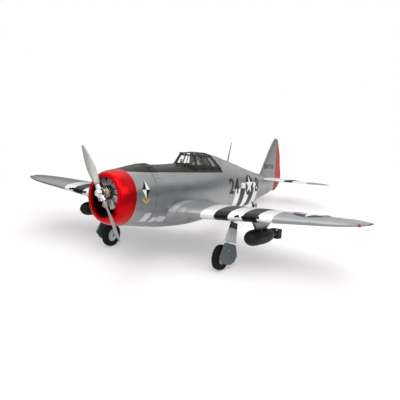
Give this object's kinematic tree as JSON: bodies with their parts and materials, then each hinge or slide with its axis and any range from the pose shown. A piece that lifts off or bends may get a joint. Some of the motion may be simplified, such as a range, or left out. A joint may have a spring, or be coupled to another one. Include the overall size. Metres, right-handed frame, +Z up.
{
  "type": "rc foam airplane",
  "caption": "Radio-controlled foam model of a radial-engined taildragger fighter with retracting gear, moving control surfaces and a lift-off canopy hatch.",
  "frame": {"origin": "on the ground under the middle of the bounding box, standing on its three wheels", "axes": "+X to the aircraft's left wing, -Y towards the nose, +Z up"},
  "size_m": [1.196, 1.0589, 0.3685],
  "materials": {
    "silver_foam": "satin",
    "white_foam": "satin",
    "red_foam": "satin",
    "olive_foam": "matte",
    "dark_frame": "satin",
    "clear": "gloss",
    "engine_metal": "satin",
    "crankcase": "satin",
    "motor_steel": "satin",
    "blade_grey": "satin",
    "chrome": "polished",
    "plywood": "matte",
    "electronics": "satin",
    "battery_wrap": "satin",
    "carbon": "satin",
    "gun_black": "satin",
    "lamp": "gloss",
    "pylon_grey": "satin",
    "olive_store": "matte",
    "nylon_black": "satin",
    "strut_metal": "satin",
    "door_white": "satin",
    "door_grey": "satin",
    "hub_grey": "satin",
    "tyre": "matte",
    "pilot": "matte"
  },
  "bodies": {
    "airframe": {"fuselage_left": "silver_foam", "fuselage_right": "silver_foam", "cowl": "silver_foam", "dummy_crankcase": "crankcase", "engine_cylinders": "engine_metal", "motor_mount": "nylon_black", "motor_stator": "motor_steel", "firewall": "plywood", "speed_controller": "electronics", "plywood_frame": "plywood", "battery": "battery_wrap", "receiver": "electronics", "wing_left": "silver_foam", "wing_right": "silver_foam", "spar_tube": "carbon", "gun_barrels": "gun_black", "nav_lamps": "lamp", "pylons": "pylon_grey", "bombs": "olive_store", "retract_units": "nylon_black", "fin": "silver_foam", "stabiliser": "white_foam", "tail_mount": "nylon_black", "aerial": "gun_black"},
    "propeller": {"propeller": "blade_grey", "prop_nut": "chrome", "motor_bell": "motor_steel"},
    "hatch": {"hatch": "olive_foam", "canopy_frame": "dark_frame", "canopy_glass": "clear", "cockpit_tub": "nylon_black", "seat": "dark_frame", "pilot": "pilot"},
    "aileron_left": {"aileron_left": "silver_foam"},
    "aileron_right": {"aileron_right": "silver_foam"},
    "flap_left": {"flap_left": "white_foam"},
    "flap_right": {"flap_right": "white_foam"},
    "elevator": {"elevator_left": "white_foam", "elevator_right": "white_foam", "elevator_joiner": "strut_metal"},
    "rudder": {"rudder": "red_foam"},
    "tail_strut": {"tail_strut": "strut_metal"},
    "tail_wheel": {"tail_wheel": "tyre"},
    "leg_left": {"leg_left": "strut_metal", "upper_door_left": "door_white"},
    "piston_left": {"piston_left": "strut_metal", "lower_door_left": "door_grey"},
    "wheel_left": {"wheel_hub_left": "hub_grey", "tyre_left": "tyre"},
    "leg_right": {"leg_right": "strut_metal", "upper_door_right": "door_white"},
    "piston_right": {"piston_right": "strut_metal", "lower_door_right": "door_grey"},
    "wheel_right": {"wheel_hub_right": "hub_grey", "tyre_right": "tyre"}
  },
  "joints": [
    {"name": "propeller_spin", "type": "hinge", "parent": "airframe", "child": "propeller", "pos_m": [0, -0.5059, 0.25296], "axis": [0, 0.9802, -0.1981], "continuous": true},
    {"name": "hatch_lift", "type": "slide", "parent": "airframe", "child": "hatch", "axis": [0, 0.1981, 0.9802], "range_m": [0, 0.06]},
    {"name": "aileron_left_hinge", "type": "hinge", "parent": "airframe", "child": "aileron_left", "pos_m": [0.345, -0.10608, 0.14418], "axis": [0.962, -0.2532, 0.1025], "range_deg": [-20, 20]},
    {"name": "aileron_right_hinge", "type": "hinge", "parent": "airframe", "child": "aileron_right", "pos_m": [-0.345, -0.10608, 0.14418], "axis": [0.962, 0.2532, -0.1025], "range_deg": [-20, 20]},
    {"name": "flap_left_hinge", "type": "hinge", "parent": "airframe", "child": "flap_left", "pos_m": [0.092, -0.09441, 0.10976], "axis": [-0.9945, 0.053, -0.0902], "range_deg": [0, 40]},
    {"name": "flap_right_hinge", "type": "hinge", "parent": "airframe", "child": "flap_right", "pos_m": [-0.092, -0.09441, 0.10976], "axis": [-0.9945, -0.053, 0.0902], "range_deg": [0, 40]},
    {"name": "elevator_hinge", "type": "hinge", "parent": "airframe", "child": "elevator", "pos_m": [0, 0.43592, 0.09219], "axis": [1, 0, 0], "range_deg": [-20, 20]},
    {"name": "rudder_hinge", "type": "hinge", "parent": "airframe", "child": "rudder", "pos_m": [0, 0.45762, 0.05821], "axis": [0, 0.1981, 0.9802], "range_deg": [-25, 25]},
    {"name": "tail_wheel_steer", "type": "hinge", "parent": "airframe", "child": "tail_strut", "pos_m": [0, 0.29636, 0.03266], "axis": [0, 0.1981, 0.9802], "range_deg": [-25, 25]},
    {"name": "tail_wheel_spin", "type": "hinge", "parent": "tail_strut", "child": "tail_wheel", "pos_m": [0, 0.30789, 0.014], "axis": [1, 0, 0], "continuous": true},
    {"name": "gear_left_retract", "type": "hinge", "parent": "airframe", "child": "leg_left", "pos_m": [0.217, -0.2202, 0.13706], "axis": [0.1125, 0.9454, -0.3059], "range_deg": [0, 90.68]},
    {"name": "oleo_left", "type": "slide", "parent": "leg_left", "child": "piston_left", "axis": [0, 0.4135, 0.9105], "range_m": [0, 0.008], "stiffness_N_per_m": 700, "springref_m": -0.016},
    {"name": "wheel_left_spin", "type": "hinge", "parent": "piston_left", "child": "wheel_left", "pos_m": [0.203, -0.2661, 0.036], "axis": [1, 0, 0], "continuous": true},
    {"name": "gear_right_retract", "type": "hinge", "parent": "airframe", "child": "leg_right", "pos_m": [-0.217, -0.2202, 0.13706], "axis": [0.1125, -0.9454, 0.3059], "range_deg": [0, 90.68]},
    {"name": "oleo_right", "type": "slide", "parent": "leg_right", "child": "piston_right", "axis": [0, 0.4135, 0.9105], "range_m": [0, 0.008], "stiffness_N_per_m": 700, "springref_m": -0.016},
    {"name": "wheel_right_spin", "type": "hinge", "parent": "piston_right", "child": "wheel_right", "pos_m": [-0.203, -0.2661, 0.036], "axis": [1, 0, 0], "continuous": true}
  ],
  "couplings": [
    {"joint": "aileron_right_hinge", "follows": "aileron_left_hinge", "ratio": -1},
    {"joint": "flap_right_hinge", "follows": "flap_left_hinge", "ratio": 1},
    {"joint": "tail_wheel_steer", "follows": "rudder_hinge", "ratio": 1},
    {"joint": "gear_right_retract", "follows": "gear_left_retract", "ratio": 1}
  ]
}
